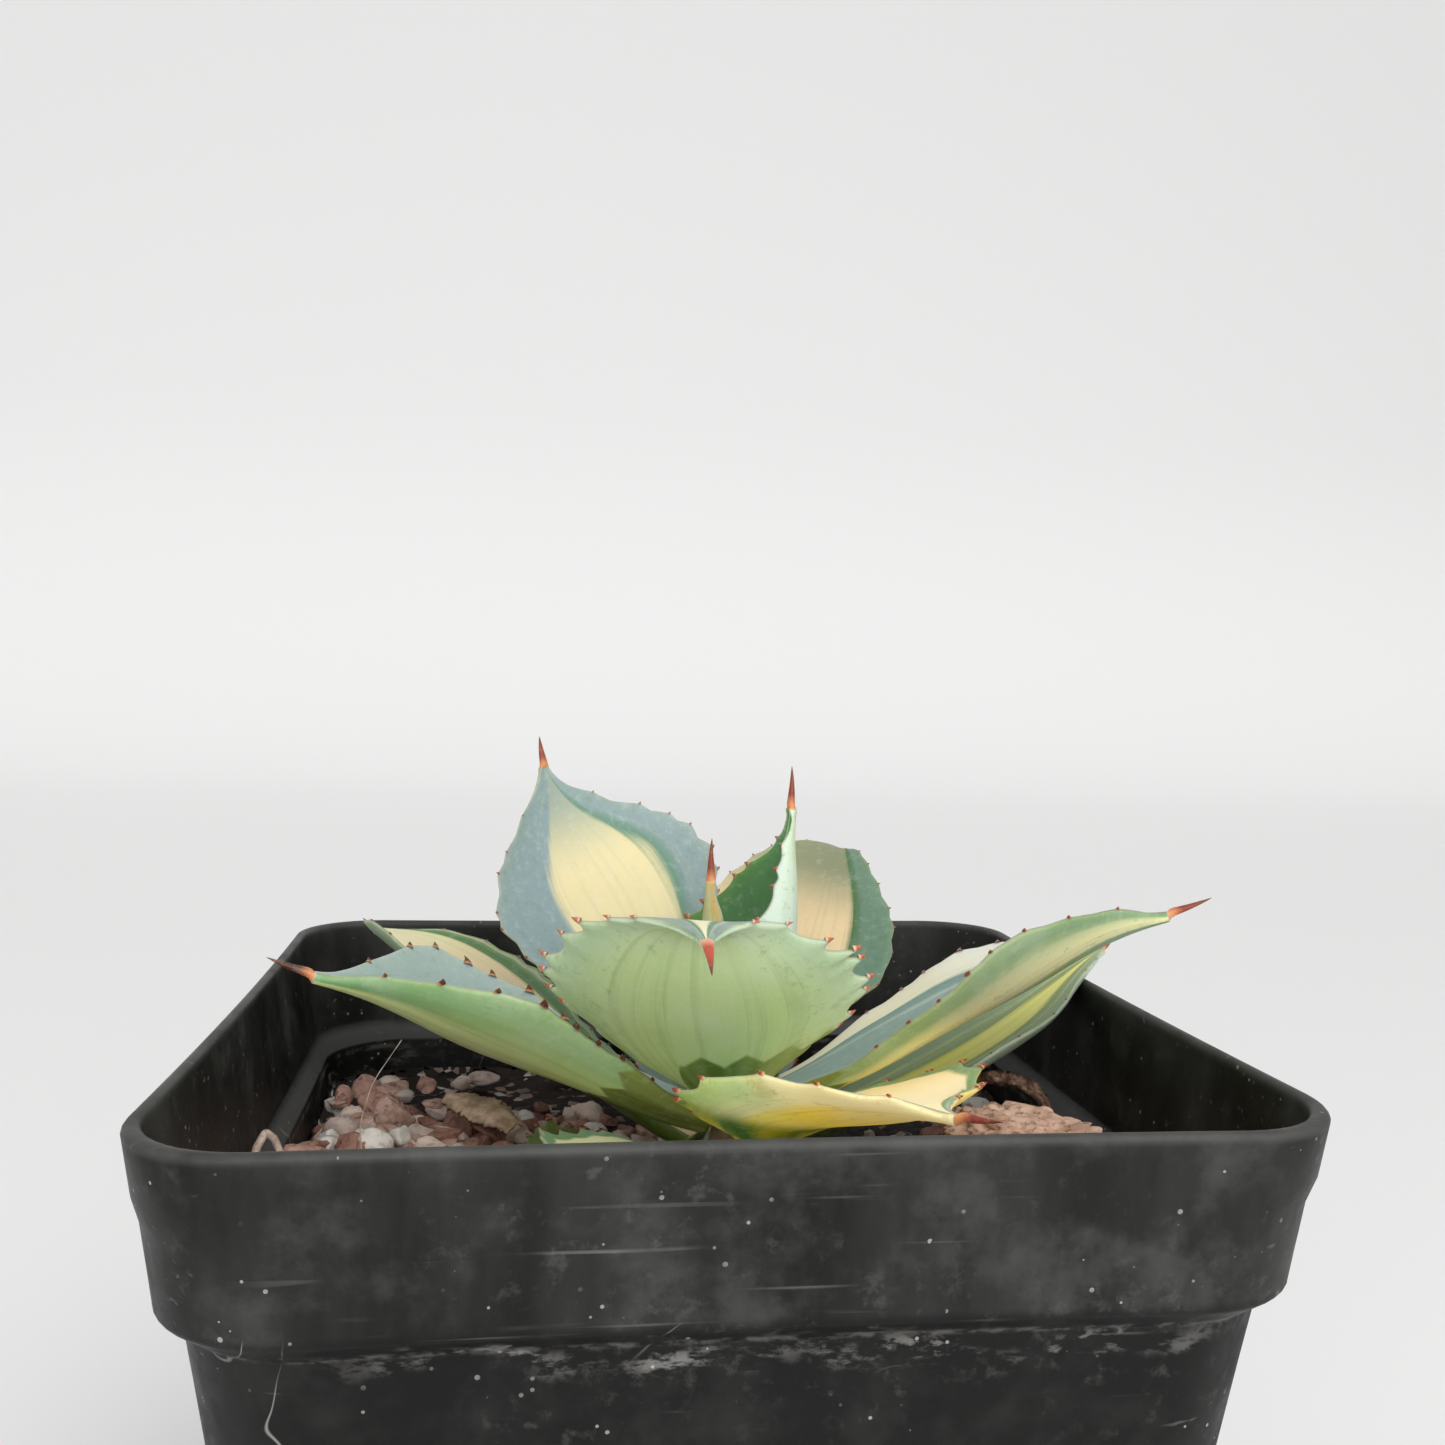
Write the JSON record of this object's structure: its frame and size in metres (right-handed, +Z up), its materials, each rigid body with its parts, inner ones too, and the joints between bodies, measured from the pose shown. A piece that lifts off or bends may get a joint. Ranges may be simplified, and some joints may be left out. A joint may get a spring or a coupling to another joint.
{
  "type": "potted agave",
  "caption": "Young variegated agave rosette with cupped, toothed and spined leaves, in a black square tapered nursery pot with gritty top-dressing.",
  "frame": {"origin": "centre of the pot's underside, on the surface it stands on", "axes": "+Z up, -Y out of the pot's front side, +X to the right seen from the front"},
  "size_m": [0.0968, 0.09, 0.1108],
  "materials": {
    "pot_plastic": "black injection-moulded polypropylene, matt, scuffed and dusty",
    "soil": "dark gritty potting mix",
    "stem": "fibrous stem and root ball",
    "leaf": "fleshy waxy leaf, blue-green edges and cream middle",
    "leaf_yellow": "fleshy waxy leaf, mostly cream and yellow",
    "bark": "dry pinkish-brown bark",
    "grit": "cream and white stones",
    "dry_leaf": "dry tan leaf scraps"
  },
  "bodies": {
    "root": {"bark_chip_04": "bark", "bark_chip_08": "bark", "bark_chip_09": "bark", "bark_chip_10": "bark", "bark_chip_14": "bark", "bark_chip_15": "bark", "bark_chip_19": "bark", "bark_chip_22": "bark", "bark_chip_23": "bark", "bark_chip_24": "bark", "bark_large": "bark", "dry_curl": "dry_leaf", "dry_flake": "dry_leaf", "leaf_back_left_tall": "leaf_yellow", "leaf_back_right": "leaf_yellow", "leaf_bottom_left": "leaf", "leaf_front": "leaf", "leaf_front_right": "leaf_yellow", "leaf_left": "leaf", "leaf_low_back": "leaf", "leaf_low_front": "leaf_yellow", "leaf_low_left": "leaf_yellow", "leaf_low_right": "leaf_yellow", "leaf_right": "leaf", "leaf_spear": "leaf", "leaf_young": "leaf", "pot": "pot_plastic", "soil": "soil", "stem_and_roots": "stem", "stone_01": "grit", "stone_02": "grit", "stone_03": "grit", "stone_05": "grit", "stone_06": "grit", "stone_07": "grit", "stone_11": "grit", "stone_12": "grit", "stone_13": "grit", "stone_16": "grit", "stone_17": "grit", "stone_18": "grit", "stone_20": "grit", "stone_21": "grit", "twig": "bark"}
  },
  "joints": []
}
